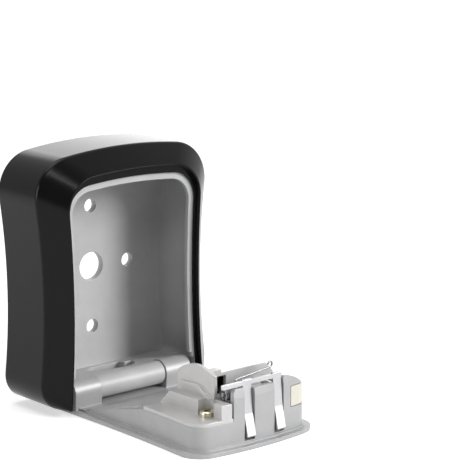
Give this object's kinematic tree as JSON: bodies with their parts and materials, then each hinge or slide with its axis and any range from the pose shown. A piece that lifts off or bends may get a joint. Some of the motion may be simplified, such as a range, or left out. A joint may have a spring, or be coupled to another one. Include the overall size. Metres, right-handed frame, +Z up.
{
  "type": "wall key safe",
  "caption": "Wall-mounted key safe: a black waisted shell round a silver cast case, with a fold-down combination door that carries number wheels, a thumb slide and a hooked latch.",
  "frame": {"origin": "centre of the wall screw pattern, on the back face that lies against the wall", "axes": "+X to the user's right, +Y into the wall, +Z up; stored with the door folded open"},
  "size_m": [0.095, 0.1229, 0.1173],
  "materials": {
    "shell_black": "smooth black satin-gloss coat",
    "case_silver": "fine matt silver-grey coat on a casting",
    "door_silver": "satin silver-grey coat",
    "cover_zinc": "pale satin zinc casting",
    "pin_steel": "drawn steel",
    "spring_steel": "dark drawn wire",
    "latch_steel": "bright plated sheet steel",
    "screw_brass": "yellow plated screw",
    "dial_black": "moulded black with pale figures",
    "slide_black": "moulded black, ridged",
    "cam_zinc": "as cast",
    "lever_cream": "cream moulding"
  },
  "bodies": {
    "safe": {"outer_shell": "shell_black", "inner_case": "case_silver", "hinge_pin": "pin_steel"},
    "door": {"door_panel": "door_silver", "lock_cover": "cover_zinc", "cover_screw_1": "screw_brass", "cover_screw_2": "screw_brass", "dial_shaft": "pin_steel", "detent_spring": "spring_steel", "latch_pin": "pin_steel", "latch_spring": "spring_steel"},
    "thumb_slide": {"thumb_slide": "slide_black", "fence_bar": "latch_steel"},
    "latch": {"latch_plate": "latch_steel"},
    "reset_lever": {"reset_lever": "lever_cream"},
    "dial_a": {"dial_a": "dial_black", "cam_a": "cam_zinc"},
    "dial_b": {"dial_b": "dial_black", "cam_b": "cam_zinc"},
    "dial_c": {"dial_c": "dial_black", "cam_c": "cam_zinc"},
    "dial_d": {"dial_d": "dial_black", "cam_d": "cam_zinc"}
  },
  "joints": [
    {"name": "door_hinge", "type": "hinge", "parent": "safe", "child": "door", "pos_m": [0, -0.0289, -0.0485], "axis": [-1, 0, 0], "range_deg": [0, 90]},
    {"name": "dial_a_spin", "type": "hinge", "parent": "door", "child": "dial_a", "pos_m": [-0.0066, -0.098, -0.0444], "axis": [1, 0, 0], "continuous": true},
    {"name": "dial_b_spin", "type": "hinge", "parent": "door", "child": "dial_b", "pos_m": [0.0011, -0.098, -0.0444], "axis": [1, 0, 0], "continuous": true},
    {"name": "dial_c_spin", "type": "hinge", "parent": "door", "child": "dial_c", "pos_m": [0.0088, -0.098, -0.0444], "axis": [1, 0, 0], "continuous": true},
    {"name": "dial_d_spin", "type": "hinge", "parent": "door", "child": "dial_d", "pos_m": [0.0165, -0.098, -0.0444], "axis": [1, 0, 0], "continuous": true},
    {"name": "thumb_slide_travel", "type": "slide", "parent": "door", "child": "thumb_slide", "axis": [0, -1, 0], "range_m": [0, 0.004]},
    {"name": "latch_swing", "type": "hinge", "parent": "door", "child": "latch", "pos_m": [0, -0.1111, -0.035], "axis": [-1, 0, 0], "range_deg": [0, 12]},
    {"name": "reset_press", "type": "slide", "parent": "door", "child": "reset_lever", "axis": [0, 1, 0], "range_m": [0, 0.0015]}
  ],
  "couplings": [
    {"joint": "latch_swing", "follows": "thumb_slide_travel", "rad_per_m": 52.3}
  ]
}
